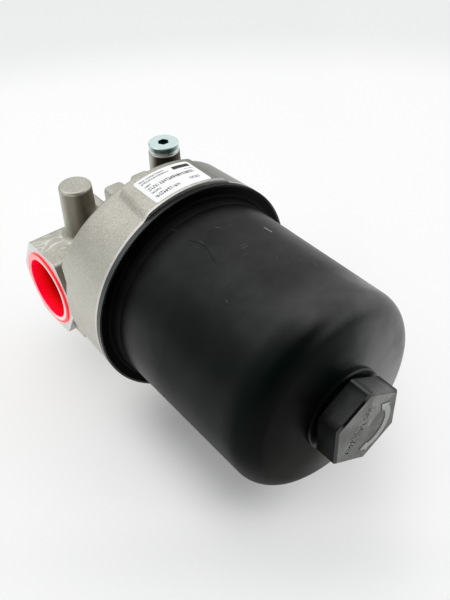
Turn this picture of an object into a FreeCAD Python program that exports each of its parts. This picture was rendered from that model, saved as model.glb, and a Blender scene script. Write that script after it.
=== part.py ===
"""Inline suction filter for a hydraulic pump's intake line.

A cast head carries two threaded ports in one line, a screwed bowl and a flat mounting foot.
The bowl holds a pleated element with a bypass valve in its lower cap.

X runs from the inlet port to the outlet port, Y along the bowl from its closed end to the head's back,
and Z up from the mounting face, whose centre is the origin.
"""
import FreeCAD, Part
import math
import os
import re
import Sketcher
from FreeCAD import Placement, Rotation, Vector

doc = FreeCAD.newDocument("suction_filter")
sheet = doc.addObject("Spreadsheet::Sheet", "sizes")
ALIASES = []
NODES = []


def size(alias, value):
    """Writes one driving dimension, in millimetres, degrees or as a count, into the sheet."""
    row = len(ALIASES) + 1
    sheet.set(f"A{row}", alias.replace("_", " "))
    sheet.set(f"B{row}", str(value))
    sheet.setAlias(f"B{row}", alias)
    ALIASES.append(alias)


# Driving dimensions in millimetres and degrees, and counts
SIZES = {
    # Bowl: flange, wall and domed end
    "flange_radius": 64.0,
    "flange_thickness": 3.2,
    "bowl_radius": 56.0,
    "bowl_wall": 4.0,
    "bowl_length": 114.6,
    "knuckle_radius": 12.7,
    "crown_radius": 213.0,
    "root_step": 1.4,
    "root_length": 6.4,

    # Bowl: wrench hexagon on its collar
    "collar_radius": 23.2,
    "collar_height": 1.1,
    "undercut_radius": 18.6,
    "undercut_length": 1.7,
    "wrench_size": 39.6,
    "wrench_height": 12.4,
    "wrench_chamfer": 1.1,
    "wrench_edge_round": 0.8,

    # Bowl: raised arrow on the hexagon's front
    "arrow_height": 0.5,
    "arrow_inner_radius": 11.7,
    "arrow_outer_radius": 15.2,
    "arrow_barb": 1.2,
    "arrow_start_angle": 30.0,
    "arrow_end_angle": -85.0,
    "arrow_tip_turn": 22.0,

    # Bowl: threaded neck inside the head
    "neck_thread_radius": 58.6,
    "neck_pilot_radius": 57.2,
    "neck_thread_length": 12.5,
    "neck_length": 21.5,
    "running_gap": 0.3,
    "bowl_seal_section": 3.5,
    "bowl_seal_squeeze": 0.3,

    # Head: bell over the bowl's neck
    "seat_setback": 65.3,
    "bell_draft": 1.8,
    "bell_floor": 8.0,
    "chamber_radius": 54.8,
    "chamber_depth": 29.3,
    "recess_setback": 29.5,
    "cheek_setback": 22.4,
    "cheek_height": 19.0,
    "cheek_step": 6.0,
    "bell_lean": 11.3,
    "bell_edge_round": 3.0,

    # Head: port arm, ducts and hub
    "port_drop": 10.0,
    "port_span": 118.6,
    "port_across_flats": 51.4,
    "arm_round": 3.0,
    "arm_nose_round": 12.0,
    "port_thread_radius": 19.5,
    "port_thread_depth": 20.0,
    "duct_radius": 17.5,
    "inlet_duct_end": 25.0,
    "outlet_duct_end": 6.0,
    "hub_radius": 26.0,
    "hub_back": 14.0,
    "hub_round": 9.0,
    "throat_half_width": 56.5,
    "throat_wall": 5.0,
    "throat_depth": 11.0,
    "gallery_inner": 24.0,
    "gallery_outer": 43.0,
    "gallery_height": 30.0,
    "gallery_round": 8.0,

    # Head: spigot that carries the element
    "spigot_radius": 20.0,
    "spigot_bore": 17.0,
    "spigot_length": 16.0,

    # Head: gauge bosses, stiffening ribs and label pad
    "gauge_spacing": 61.0,
    "gauge_setback": 0.8,
    "blank_boss_height": 49.3,
    "gauge_boss_height": 48.3,
    "boss_top_radius": 9.3,
    "boss_base_radius": 10.5,
    "boss_round": 1.6,
    "flare_round": 4.0,
    "flare_back_drop": 10.0,
    "rib_spacing": 19.0,
    "rib_width": 13.2,
    "rib_height": 29.8,
    "rib_back": 16.0,
    "rib_round": 3.4,
    "pad_rise": 1.9,
    "pad_half_angle": 20.4,
    "pad_fairing_angle": 6.4,
    "pad_back_narrowing": 2.3,
    "pad_length": 27.6,
    "pad_corner_round": 8.0,

    # Head: mounting foot
    "foot_width": 72.0,
    "foot_depth": 44.0,
    "foot_thickness": 14.0,
    "foot_corner_radius": 9.0,
    "pedestal_width": 48.0,
    "pedestal_depth": 30.0,
    "bolt_spacing_x": 54.0,
    "bolt_spacing_y": 26.0,
    "bolt_tap_radius": 3.4,
    "bolt_tap_depth": 11.0,

    # Protective plugs in the two ports
    "plug_flange_radius": 22.7,
    "plug_flange_height": 1.2,
    "plug_mouth_radius": 18.5,
    "plug_wall": 1.1,
    "plug_depth": 18.0,
    "plug_taper": 0.6,

    # Screw plug of the gauge port
    "screw_collar_radius": 9.0,
    "screw_collar_height": 3.0,
    "screw_thread_radius": 6.5,
    "screw_thread_length": 12.0,
    "screw_gap": 0.1,
    "screw_socket": 6.0,
    "screw_socket_depth": 5.0,
    "washer_thickness": 1.5,
    "gauge_bore_radius": 2.5,

    # Label
    "label_width": 35.0,
    "label_length": 22.7,
    "label_thickness": 0.2,
    "label_setback": 1.7,

    # Element: pleats, core and caps
    "pleat_count": 48,
    "pleat_outer_radius": 43.5,
    "pleat_inner_radius": 26.0,
    "pleat_fold": 4.0,
    "core_radius": 24.5,
    "core_wall": 1.0,
    "window_height": 11.0,
    "window_width": 9.0,
    "window_pitch": 16.5,
    "window_rows": 5,
    "window_columns": 8,
    "cap_radius": 45.5,
    "cap_height": 8.0,
    "cap_web": 3.0,
    "cap_lip": 1.2,
    "cap_clearance": 6.0,
    "element_length": 112.0,
    "element_seal_section": 2.6,
    "element_seal_squeeze": 0.2,

    # Bypass valve in the lower cap
    "valve_port_radius": 12.0,
    "valve_disc_radius": 15.5,
    "valve_disc_thickness": 2.5,
    "valve_seal_thickness": 1.5,
    "valve_seat_height": 1.0,
    "valve_seat_width": 1.5,
    "valve_stem_radius": 3.0,
    "cage_radius": 20.0,
    "cage_wall": 1.6,
    "cage_height": 26.0,
    "cage_window": 14.0,
    "valve_spring_radius": 8.6,
    "valve_spring_wire": 1.6,
    "valve_spring_turns": 4.5,
    "wire_sides": 12,
    "valve_nut_size": 10.0,
    "valve_nut_height": 5.0,
    "valve_stem_end": 2.0,

    # Spring between bowl and element
    "support_spring_radius": 17.0,
    "support_spring_wire": 2.6,
    "support_spring_turns": 3.0,
    "spring_cup_radius": 21.5,
    "spring_cup_thickness": 1.2,
    "spring_cup_rim": 3.0,
}

for alias, value in SIZES.items():
    size(alias, value)
doc.recompute()


def bind(text):
    """The expression with each alias named through the sheet."""
    return re.sub(r"[a-z_]+", lambda m: f"sizes.{m.group()}" if m.group() in ALIASES else m.group(), str(text))


def number(text):
    """The value of an expression on the sheet."""
    return float(sheet.evalExpression(bind(text)))


def tie(thing, **expressions):
    """Binds properties of an object to expressions, a double underscore standing for a dot."""
    for name, text in expressions.items():
        thing.setExpression(name.replace("__", "."), bind(text))


def plane(body, role):
    """One of a body's own origin planes."""
    return [feature for feature in body.Origin.OriginFeatures if feature.Role == role][0]


def new_body(label):
    """An empty body with its own label."""
    return doc.addObject("PartDesign::Body", label)


def new_sketch(body, name, role="XY_Plane", offset="0"):
    """A sketch on one of the body's origin planes, moved along its normal by an expression."""
    sketch = body.newObject("Sketcher::SketchObject", name)
    sketch.AttachmentSupport = (plane(body, role), [""])
    sketch.MapMode = "FlatFace"
    tie(sketch, AttachmentOffset__Base__z=offset)
    return sketch


def constrain(sketch, kind, geometry, point, text):
    """Holds one coordinate of a sketch point at an expression, or on the axis where it is nought."""
    if abs(number(text)) < 1e-9:
        axis = -2 if kind == "DistanceX" else -1
        sketch.addConstraint(Sketcher.Constraint("PointOnObject", geometry, point, axis))
        return
    index = sketch.addConstraint(Sketcher.Constraint(kind, -1, 1, geometry, point, number(text)))
    sketch.setExpression(f"Constraints[{index}]", bind(text))


def outline(sketch, points, arcs=None):
    """A closed outline through (u, v) expressions. An arc replaces the line that starts at its key."""
    arcs = arcs or {}
    places = [Vector(number(u), number(v), 0) for u, v in points]
    first = sketch.GeometryCount
    for index, start in enumerate(places):
        end = places[(index + 1) % len(places)]
        if index in arcs:
            radius, side = arcs[index]
            middle = arc_middle(start, end, number(radius), side)
            sketch.addGeometry(Part.Arc(start, middle, end))
        else:
            sketch.addGeometry(Part.LineSegment(start, end))
    for index in range(len(places)):
        joined = join_end(sketch, first + index, places[index])
        before = first + (index - 1) % len(places)
        sketch.addConstraint(Sketcher.Constraint("Coincident", before, far_end(sketch, before, places[index]),
                                                 first + index, joined))
        constrain(sketch, "DistanceX", first + index, joined, points[index][0])
        constrain(sketch, "DistanceY", first + index, joined, points[index][1])
    for index, (radius, side) in arcs.items():
        constraint = sketch.addConstraint(Sketcher.Constraint("Radius", first + index, number(radius)))
        sketch.setExpression(f"Constraints[{constraint}]", bind(radius))


def join_end(sketch, geometry, place):
    """The end of a sketch edge that lies at a place: 1 for its start, 2 for its end."""
    return 1 if sketch.getPoint(geometry, 1).distanceToPoint(place) < 1e-6 else 2


def far_end(sketch, geometry, place):
    """As join_end, for the edge that arrives at a place."""
    return 2 if sketch.getPoint(geometry, 2).distanceToPoint(place) < 1e-6 else 1


def arc_middle(start, end, radius, side):
    """The middle of the flat arc from start to end that bulges to one side of its chord."""
    chord = end - start
    half = chord.Length / 2
    rise = radius - math.sqrt(radius * radius - half * half)
    across = Vector(-chord.y, chord.x, 0).normalize()
    return (start + end) / 2 + across * rise * side


def revolve(body, name, points, role="XY_Plane", axis="V_Axis", arcs=None, cut=False):
    """A full turn of an outline about a sketch axis, added to the body or cut from it."""
    sketch = new_sketch(body, name + "_profile", role)
    outline(sketch, points, arcs)
    turn = body.newObject("PartDesign::Groove" if cut else "PartDesign::Revolution", name)
    turn.Profile = sketch
    turn.ReferenceAxis = (sketch, [axis])
    turn.Angle = 360
    sketch.Visibility = False
    body.Tip = turn
    doc.recompute()
    return turn


def extrude(body, name, sketch, length, midplane=False, cut=False, reverse=False):
    """A pad or pocket of a sketch."""
    feature = body.newObject("PartDesign::Pocket" if cut else "PartDesign::Pad", name)
    feature.Profile = sketch
    if hasattr(feature, "SideType") and midplane:
        feature.SideType = "Symmetric"
    elif midplane:
        feature.Midplane = True
    feature.Reversed = reverse
    tie(feature, Length=length)
    sketch.Visibility = False
    body.Tip = feature
    doc.recompute()
    return feature


def edges_where(feature, test):
    """Names of the edges whose middle point and edge pass a test."""
    names = []
    for index, edge in enumerate(feature.Shape.Edges, start=1):
        middle = edge.valueAt((edge.FirstParameter + edge.LastParameter) / 2)
        if test(edge, middle):
            names.append(f"Edge{index}")
    return names


def soften(body, name, base, test, amount, chamfer=False):
    """A fillet or chamfer on the edges of the base feature that pass a test."""
    names = edges_where(base, test)
    if not names:
        raise ValueError(f"{name}: no edge found")
    feature = body.newObject("PartDesign::Chamfer" if chamfer else "PartDesign::Fillet", name)
    feature.Base = (base, names)
    if chamfer:
        tie(feature, Size=amount)
    else:
        tie(feature, Radius=amount)
    body.Tip = feature
    doc.recompute()
    return feature


def polygon(sketch, places):
    """A closed outline from (u, v) expressions, for shapes with no arcs."""
    outline(sketch, places)


def rectangle(sketch, left, right, low, high):
    """A rectangle between four expressions."""
    outline(sketch, [(left, low), (right, low), (right, high), (left, high)])


def circle(sketch, across, up, radius):
    """A circle placed and sized by expressions."""
    place = Vector(number(across), number(up), 0)
    index = sketch.addGeometry(Part.Circle(place, Vector(0, 0, 1), number(radius)))
    constrain(sketch, "DistanceX", index, 3, across)
    constrain(sketch, "DistanceY", index, 3, up)
    held = sketch.addConstraint(Sketcher.Constraint("Radius", index, number(radius)))
    sketch.setExpression(f"Constraints[{held}]", bind(radius))


def cylinder(name, radius, height, rotation, **base):
    """A plain cylinder used to build or bore the casting."""
    drum = doc.addObject("Part::Cylinder", name)
    drum.Placement = Placement(Vector(0, 0, 0), rotation)
    tie(drum, Radius=radius, Height=height)
    tie(drum, **{f"Placement__Base__{axis}": text for axis, text in base.items()})
    return drum


def node(thing, name, **base):
    """Marks an object as a sub-part, labels it and places it by expressions."""
    thing.Label = name
    tie(thing, **{f"Placement__Base__{axis}": text for axis, text in base.items()})
    NODES.append(thing)
    return thing


ALONG_X = Rotation(Vector(0, 0, 1), Vector(1, 0, 0))
ALONG_Y = Rotation(Vector(0, 0, 1), Vector(0, 1, 0))
ALONG_Z = Rotation()
HALF_TURN = Rotation(Vector(0, 0, 1), 180)

# Places along Y, counted from the port axis
SEAT = "-seat_setback"
CHAMBER_BACK = "(-seat_setback + chamber_depth)"
CAP_TOP = "(-seat_setback + chamber_depth - cap_clearance)"
ELEMENT_END = "(-seat_setback + chamber_depth - cap_clearance - element_length)"
BOWL_END = "(-seat_setback - flange_thickness - bowl_length)"
SEAL_MIDDLE = "(neck_thread_length + neck_length) / 2"
ELEMENT_SEAL_MIDDLE = "(-seat_setback + chamber_depth - cap_clearance - cap_height / 2)"
VALVE_SEAT = "(-seat_setback + chamber_depth - cap_clearance - element_length + cap_web + valve_seat_height)"
CAGE_FLOOR = "(-seat_setback + chamber_depth - cap_clearance - element_length + cap_web)"


def head_bell():
    """The outer shape of the bell: a drafted drum whose back leans and steps in over the port arm."""
    body = new_body("bell_form")
    revolve(body, "bell_drum", [
        ("0", SEAT),
        ("flange_radius", SEAT),
        ("flange_radius - bell_draft", "-cheek_setback + 1"),
        ("0", "-cheek_setback + 1"),
    ])
    sketch = new_sketch(body, "bell_back_side", "YZ_Plane")
    polygon(sketch, [
        ("-recess_setback", "-flange_radius - 5"),
        ("-recess_setback", "cheek_height - cheek_step"),
        ("-cheek_setback", "cheek_height"),
        ("-cheek_setback - bell_lean", "flange_radius + 5"),
        ("5", "flange_radius + 5"),
        ("5", "-flange_radius - 5"),
    ])
    trimmed = extrude(body, "bell_back", sketch, "4 * flange_radius", midplane=True, cut=True)
    rim = number("flange_radius - bell_draft")
    soften(body, "bell_back_round", trimmed, lambda edge, middle: math.hypot(middle.x, middle.z) > rim - 1.5
           and middle.y > number("-recess_setback - bell_lean"), "bell_edge_round")
    return body


def head_arm():
    """The hexagonal arm between the two ports."""
    body = new_body("arm_form")
    sketch = new_sketch(body, "arm_section", "YZ_Plane")
    flat = "port_across_flats / 2"
    corner = "port_across_flats / sqrt(3)"
    turns = [(f"{corner} / 2", flat), (f"-{corner} / 2", flat), (f"-{corner}", "0"),
             (f"-{corner} / 2", f"-{flat}"), (f"{corner} / 2", f"-{flat}"), (corner, "0")]
    outline(sketch, [(y, f"{z} - port_drop") for y, z in turns])
    bar = extrude(body, "arm_bar", sketch, "port_span", midplane=True)
    middle_height = number("-port_drop")
    flats = soften(body, "arm_corners", bar, lambda edge, middle: abs(middle.x) < 0.1
                   and abs(middle.z - middle_height) > 1, "arm_round")
    soften(body, "arm_noses", flats, lambda edge, middle: abs(middle.x) < 0.1
           and abs(middle.z - middle_height) < 1, "arm_nose_round")
    return body


def head_hub():
    """The domed hub that closes the outlet chamber behind the spigot."""
    body = new_body("hub_form")
    hub = revolve(body, "hub_drum", [
        ("0", "-recess_setback - 1"),
        ("hub_radius", "-recess_setback - 1"),
        ("hub_radius", "hub_back"),
        ("0", "hub_back"),
    ])
    soften(body, "hub_dome", hub, lambda edge, middle: middle.y > number("hub_back") - 0.01
           and abs(math.hypot(middle.x, middle.z) - number("hub_radius")) < 0.1, "hub_round")
    return body


def head_throat():
    """The web that joins arm and bell around the inlet gallery."""
    body = new_body("throat_form")
    sketch = new_sketch(body, "throat_plan", "XZ_Plane", "recess_setback + 1 - throat_depth")
    rectangle(sketch, "-throat_half_width", "throat_half_width", "-port_drop - gallery_height / 2 - throat_wall",
              "-port_drop + gallery_height / 2 + throat_wall")
    extrude(body, "throat_block", sketch, "throat_depth")
    return body


def head_ribs():
    """Three rounded ribs over the hub between the gauge bosses."""
    body = new_body("rib_form")
    sketch = new_sketch(body, "rib_plan", "XY_Plane")
    for step in ("-rib_spacing", "0", "rib_spacing"):
        rectangle(sketch, f"{step} - rib_width / 2", f"{step} + rib_width / 2",
                  "-recess_setback - 1", "rib_back")
    pad = extrude(body, "rib_blocks", sketch, "rib_height")
    back = number("rib_back")
    upright = soften(body, "rib_backs", pad, lambda edge, middle: abs(middle.y - back) < 0.01
                     and abs(middle.z - number("rib_height") / 2) < 0.1, "rib_round")
    high = number("rib_height")
    soften(body, "rib_tops", upright, lambda edge, middle: abs(middle.z - high) < 0.01
           and middle.y > number("-recess_setback"), "rib_round - 0.6")
    return body


def head_boss(name, side, height):
    """A drafted round boss on the arm."""
    body = new_body(name)
    cone = revolve(body, name + "_cone", [
        ("0", "0"),
        ("boss_base_radius", "0"),
        ("boss_top_radius", height),
        ("0", height),
    ], role="XZ_Plane")
    high = number(height)
    soften(body, name + "_edge", cone, lambda edge, middle: abs(middle.z - high) < 0.01
           and math.hypot(middle.x, middle.y) > 1, "boss_round")
    tie(body, Placement__Base__x=f"{side} * gauge_spacing / 2", Placement__Base__y="gauge_setback")
    return body


def head_flare(name, side):
    """The cast fillet that blends a boss into the arm, dying out towards the arm's back edge."""
    flare = new_body(name)
    top = "port_across_flats / 2 - port_drop"
    foot = "boss_base_radius - 0.3 + flare_round"
    revolve(flare, name + "_ring", [
        ("boss_base_radius - 3", f"{top} - 1"),
        (foot, f"{top} - 1"),
        (foot, top),
        ("boss_base_radius - 0.3", f"{top} + flare_round"),
        ("boss_base_radius - 3", f"{top} + flare_round"),
    ], role="XZ_Plane", arcs={2: ("flare_round", 1)})
    tie(flare, Placement__Base__x=f"{side} * gauge_spacing / 2", Placement__Base__y="gauge_setback")
    keep = new_body(name + "_keep")
    sketch = new_sketch(keep, name + "_side", "YZ_Plane")
    edge = "port_across_flats / sqrt(3) / 2"
    polygon(sketch, [
        (f"-{edge} + arm_round / 4", f"{top} - 1"),
        (f"-{edge} + arm_round / 4", f"{top} + flare_round + 1"),
        ("0", f"{top} + flare_back_drop"),
        (f"{edge} - arm_round / 4", f"{top} - 0.2"),
        (f"{edge} - arm_round / 4", f"{top} - 1"),
    ])
    extrude(keep, name + "_block", sketch, "port_span", midplane=True)
    blend = doc.addObject("Part::Common", name + "_blend")
    blend.Base = flare
    blend.Tool = keep
    return blend


def pad_point(share, narrowing, ground):
    """A point of the pad's side, from its level top (share 0) down to the bell (share 1)."""
    angle = f"(pad_half_angle - {narrowing} + pad_fairing_angle * {share})"
    radius = f"(({ground}) + (flange_radius + pad_rise - ({ground})) * (0.5 + 0.5 * cos(180 * {share})))"
    return f"{radius} * sin({angle})", f"{radius} * cos({angle})"


def head_label_pad():
    """The raised curved pad that carries the label, faired into the bell and narrower at its back."""
    form = new_body("pad_form")
    sections = []
    for name, place, narrowing, ground in (
            ("pad_front", SEAT, "0", "flange_radius - 0.1"),
            ("pad_rear", "(-seat_setback + pad_length)", "pad_back_narrowing",
             "flange_radius - 0.1 - bell_draft * pad_length / (seat_setback - cheek_setback)")):
        sketch = new_sketch(form, name, "XZ_Plane", f"-{place}")
        side = [pad_point(step / 5, narrowing, ground) for step in range(6)]
        points = [(f"-({u})", v) for u, v in reversed(side)] + side
        points += [(side[-1][0], "flange_radius / 2"), (f"-({side[-1][0]})", "flange_radius / 2")]
        outline(sketch, points, arcs={5: ("flange_radius + pad_rise", 1)})
        sections.append(sketch)
    loft = form.newObject("PartDesign::AdditiveLoft", "pad_loft")
    loft.Profile = sections[0]
    loft.Sections = [sections[1]]
    loft.Ruled = True
    form.Tip = loft
    doc.recompute()
    keep = new_body("pad_keep")
    sketch = new_sketch(keep, "pad_plan", "XY_Plane")
    rectangle(sketch, "-flange_radius / 2", "flange_radius / 2", "-seat_setback - 1", "-seat_setback + pad_length")
    block = extrude(keep, "pad_block", sketch, "flange_radius + 20")
    soften(keep, "pad_corners", block, lambda edge, middle: middle.y > number("-seat_setback + pad_length") - 0.1
           and abs(middle.z - number("flange_radius + 20") / 2) < 0.1, "pad_corner_round")
    pad = doc.addObject("Part::Common", "label_pad_form")
    pad.Base = form
    pad.Tool = keep
    return pad


def head_foot():
    """The mounting foot: a plate with rounded corners on a drafted pedestal."""
    body = new_body("foot_form")
    sketch = new_sketch(body, "foot_plan", "XY_Plane", "-flange_radius")
    rectangle(sketch, "-foot_width / 2", "foot_width / 2", "-foot_depth / 2", "foot_depth / 2")
    plate = extrude(body, "foot_plate", sketch, "foot_thickness")
    middle_height = number("-flange_radius + foot_thickness / 2")
    soften(body, "foot_corners", plate, lambda edge, middle: abs(middle.z - middle_height) < 0.1
           and abs(abs(middle.x) - number("foot_width / 2")) < 0.1, "foot_corner_radius")
    riser = new_sketch(body, "pedestal_plan", "XY_Plane", "-flange_radius + foot_thickness - 1")
    rectangle(riser, "-pedestal_width / 2", "pedestal_width / 2", "-pedestal_depth / 2", "pedestal_depth / 2")
    extrude(body, "pedestal", riser, "flange_radius - foot_thickness - port_drop")
    return body


def head_chamber():
    """The hollow inside the bell, around the spigot, with its bored neck."""
    body = new_body("chamber_tool")
    revolve(body, "chamber_bore", [
        ("0", "-seat_setback - 1"),
        ("neck_thread_radius + running_gap", "-seat_setback - 1"),
        ("neck_thread_radius + running_gap", "-seat_setback + neck_thread_length + 1"),
        ("neck_pilot_radius + running_gap", "-seat_setback + neck_thread_length + 2.6"),
        ("neck_pilot_radius + running_gap", "-seat_setback + neck_length + 1"),
        ("chamber_radius", "-seat_setback + neck_length + 2.4"),
        ("chamber_radius", CHAMBER_BACK),
        ("spigot_radius", CHAMBER_BACK),
        ("spigot_radius", f"{CHAMBER_BACK} - spigot_length"),
        ("0", f"{CHAMBER_BACK} - spigot_length"),
    ])
    return body


def head_gallery():
    """The cored opening from the inlet duct into the chamber."""
    body = new_body("gallery_tool")
    sketch = new_sketch(body, "gallery_plan", "XZ_Plane", "8")
    middle = "-port_drop"
    rectangle(sketch, "-gallery_outer", "-gallery_inner",
              f"{middle} - gallery_height / 2", f"{middle} + gallery_height / 2")
    block = extrude(body, "gallery_block", sketch, "seat_setback - chamber_depth - 6")
    soften(body, "gallery_corners", block, lambda edge, spot: abs(edge.Vertexes[0].Y - edge.Vertexes[-1].Y)
           > number("gallery_round") / 2, "gallery_round")
    return body


def head_ducts():
    """Port threads, ducts, spigot bore, gauge bore and bolt holes, as tools for the casting."""
    half = "port_span / 2"
    tools = [
        cylinder("inlet_thread", "port_thread_radius", "port_thread_depth + 1", ALONG_X,
                 x=f"-{half} - 1", z="-port_drop"),
        cylinder("outlet_thread", "port_thread_radius", "port_thread_depth + 1", ALONG_X,
                 x=f"{half} - port_thread_depth", z="-port_drop"),
        cylinder("inlet_duct", "duct_radius", f"{half} - inlet_duct_end", ALONG_X,
                 x=f"-{half}", z="-port_drop"),
        cylinder("outlet_duct", "duct_radius", f"{half} + outlet_duct_end", ALONG_X,
                 x="-outlet_duct_end", z="-port_drop"),
        cylinder("spigot_hole", "spigot_bore", "seat_setback - chamber_depth + spigot_length + 7", ALONG_Y,
                 y=f"{CHAMBER_BACK} - spigot_length - 1"),
        cylinder("gauge_thread", "screw_thread_radius + screw_gap", "screw_thread_length + 3", ALONG_Z,
                 x="gauge_spacing / 2", y="gauge_setback", z="gauge_boss_height - screw_thread_length - 2"),
        cylinder("gauge_hole", "gauge_bore_radius", "gauge_boss_height", ALONG_Z,
                 x="gauge_spacing / 2", y="gauge_setback", z="0"),
    ]
    for across in (-1, 1):
        for along in (-1, 1):
            tools.append(cylinder("bolt_tap", "bolt_tap_radius", "bolt_tap_depth + 1", ALONG_Z,
                                  x=f"{across} * bolt_spacing_x / 2", y=f"{along} * bolt_spacing_y / 2",
                                  z="-flange_radius - 1"))
    return tools


def filter_head():
    """The aluminium casting, machined at its seat, ports, foot and gauge boss."""
    solids = [
        head_bell(), head_arm(), head_hub(), head_throat(), head_ribs(), head_label_pad(), head_foot(),
        head_boss("blank_boss", -1, "blank_boss_height"), head_boss("gauge_boss", 1, "gauge_boss_height"),
        head_flare("blank_flare", -1), head_flare("gauge_flare", 1),
    ]
    casting = doc.addObject("Part::MultiFuse", "casting")
    casting.Shapes = solids
    casting.Refine = True
    cores = doc.addObject("Part::MultiFuse", "cores")
    cores.Shapes = [head_chamber(), head_gallery()] + head_ducts()
    machined = doc.addObject("Part::Cut", "machined_head")
    machined.Base = casting
    machined.Tool = cores
    doc.recompute()
    return node(machined, "filter_head", z="flange_radius")


def hexagon_arrow(body, depth):
    """The raised arrow with a head at each end that shows the turning direction."""
    sketch = new_sketch(body, "arrow_plan", "XZ_Plane", depth)
    middle = "(arrow_inner_radius + arrow_outer_radius) / 2"
    first, last = "arrow_start_angle", "arrow_end_angle"

    def spot(radius, angle):
        return f"({radius}) * cos({angle})", f"({radius}) * sin({angle})"

    outline(sketch, [
        spot("arrow_outer_radius", first),
        spot("arrow_outer_radius", last),
        spot("arrow_outer_radius + arrow_barb", last),
        spot(middle, f"{last} - arrow_tip_turn"),
        spot("arrow_inner_radius - arrow_barb", last),
        spot("arrow_inner_radius", last),
        spot("arrow_inner_radius", first),
        spot("arrow_inner_radius - arrow_barb", first),
        spot(middle, f"{first} + arrow_tip_turn"),
        spot("arrow_outer_radius + arrow_barb", first),
    ], arcs={0: ("arrow_outer_radius", 1), 5: ("arrow_inner_radius", -1)})
    extrude(body, "arrow", sketch, "arrow_height + 1")


def filter_bowl():
    """The bowl: one moulding with flange, threaded neck, domed end, collar and wrench hexagon."""
    body = new_body("filter_bowl")
    crown = "-flange_thickness - bowl_length"
    crown_edge = f"{crown} + crown_radius - sqrt(crown_radius ^ 2 - bowl_radius ^ 2)"
    root = "bowl_radius + root_step"
    outer = revolve(body, "bowl_outside", [
        ("0", crown),
        ("bowl_radius", crown_edge),
        ("bowl_radius", "-flange_thickness - root_length"),
        (root, "-flange_thickness - root_step"),
        (root, "-flange_thickness - root_step / 2"),
        (f"{root} + root_step", "-flange_thickness"),
        ("flange_radius", "-flange_thickness"),
        ("flange_radius", "0"),
        ("neck_pilot_radius", "0"),
        ("neck_pilot_radius", "2"),
        ("neck_thread_radius", "3.4"),
        ("neck_thread_radius", "neck_thread_length - 1.4"),
        ("neck_pilot_radius", "neck_thread_length"),
        ("neck_pilot_radius", "neck_length - 1"),
        ("neck_pilot_radius - 1", "neck_length"),
        ("0", "neck_length"),
    ], arcs={0: ("crown_radius", -1)})
    edge_height = number(crown_edge)
    knuckle = soften(body, "knuckle", outer, lambda edge, middle: abs(middle.y - edge_height) < 0.05
                     and math.hypot(middle.x, middle.z) > number("bowl_radius") - 0.1, "knuckle_radius")

    sketch = new_sketch(body, "hexagon_plan", "XZ_Plane",
                        f"-({crown}) + collar_height + undercut_length")
    corner = "wrench_size / sqrt(3)"
    outline(sketch, [("0", corner), ("wrench_size / 2", f"{corner} / 2"), ("wrench_size / 2", f"-{corner} / 2"),
                     ("0", f"-{corner}"), ("-wrench_size / 2", f"-{corner} / 2"),
                     ("-wrench_size / 2", f"{corner} / 2")])
    stub = revolve(body, "collar", [
        ("0", f"{crown} + 4"),
        ("collar_radius", f"{crown} + 4"),
        ("collar_radius", f"{crown} - collar_height"),
        ("undercut_radius", f"{crown} - collar_height"),
        ("undercut_radius", f"{crown} - collar_height - undercut_length - 1"),
        ("0", f"{crown} - collar_height - undercut_length - 1"),
    ])
    hexagon = extrude(body, "hexagon", sketch, "wrench_height")
    front = number(f"{crown} - collar_height - undercut_length - wrench_height")
    bevelled = soften(body, "hexagon_bevel", hexagon, lambda edge, middle: abs(middle.y - front) < 0.01,
                      "wrench_chamfer", chamfer=True)
    hexagon_middle = number(f"{crown} - collar_height - undercut_length - wrench_height / 2")
    eased = soften(body, "hexagon_edges", bevelled, lambda edge, middle: abs(middle.y - hexagon_middle) < 1
                   and math.hypot(middle.x, middle.z) > number("wrench_size / 2") + 1, "wrench_edge_round")
    collar_edge = number(f"{crown} - collar_height")
    soften(body, "collar_round", eased, lambda edge, middle: abs(middle.y - collar_edge) < 0.01
           and abs(math.hypot(middle.x, middle.z) - number("collar_radius")) < 0.1, "collar_height * 0.7")

    hexagon_arrow(body, f"-({crown}) + collar_height + undercut_length + wrench_height - 1")

    inner = "bowl_radius - bowl_wall"
    floor = f"{crown} + bowl_wall"
    floor_radius = "crown_radius - bowl_wall"
    floor_edge = f"{floor} + {floor_radius} - sqrt(({floor_radius}) ^ 2 - ({inner}) ^ 2)"
    hollow = revolve(body, "bowl_inside", [
        ("0", floor),
        (inner, floor_edge),
        (inner, "neck_length + 1"),
        ("0", "neck_length + 1"),
    ], arcs={0: (floor_radius, -1)}, cut=True)
    floor_height = number(floor_edge)
    knuckle_inside = soften(body, "knuckle_inside", hollow, lambda edge, middle: abs(middle.y - floor_height) < 0.05
                            and abs(math.hypot(middle.x, middle.z) - number(inner)) < 0.1,
                            "knuckle_radius - bowl_wall")
    groove = "neck_pilot_radius + running_gap - bowl_seal_section + bowl_seal_squeeze"
    revolve(body, "seal_groove", [
        (groove, f"{SEAL_MIDDLE} - bowl_seal_section * 0.62"),
        ("neck_pilot_radius + 1", f"{SEAL_MIDDLE} - bowl_seal_section * 0.62"),
        ("neck_pilot_radius + 1", f"{SEAL_MIDDLE} + bowl_seal_section * 0.62"),
        (groove, f"{SEAL_MIDDLE} + bowl_seal_section * 0.62"),
    ], cut=True)
    return node(body, "filter_bowl", y=SEAT, z="flange_radius")



def ring_seal(name, outer, section, squeeze, height):
    """A sealing ring squeezed between a groove and a bore, so that its section is a rounded oblong."""
    body = new_body(name)
    deep = f"({section} - ({squeeze}))"
    wide = f"({section} + {squeeze})"
    ring = revolve(body, name + "_ring", [
        (f"{outer} - {deep}", f"{height} - {wide} / 2"),
        (outer, f"{height} - {wide} / 2"),
        (outer, f"{height} + {wide} / 2"),
        (f"{outer} - {deep}", f"{height} + {wide} / 2"),
    ])
    soften(body, name + "_round", ring, lambda edge, middle: True, f"{section} * 0.36")
    return body


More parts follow.
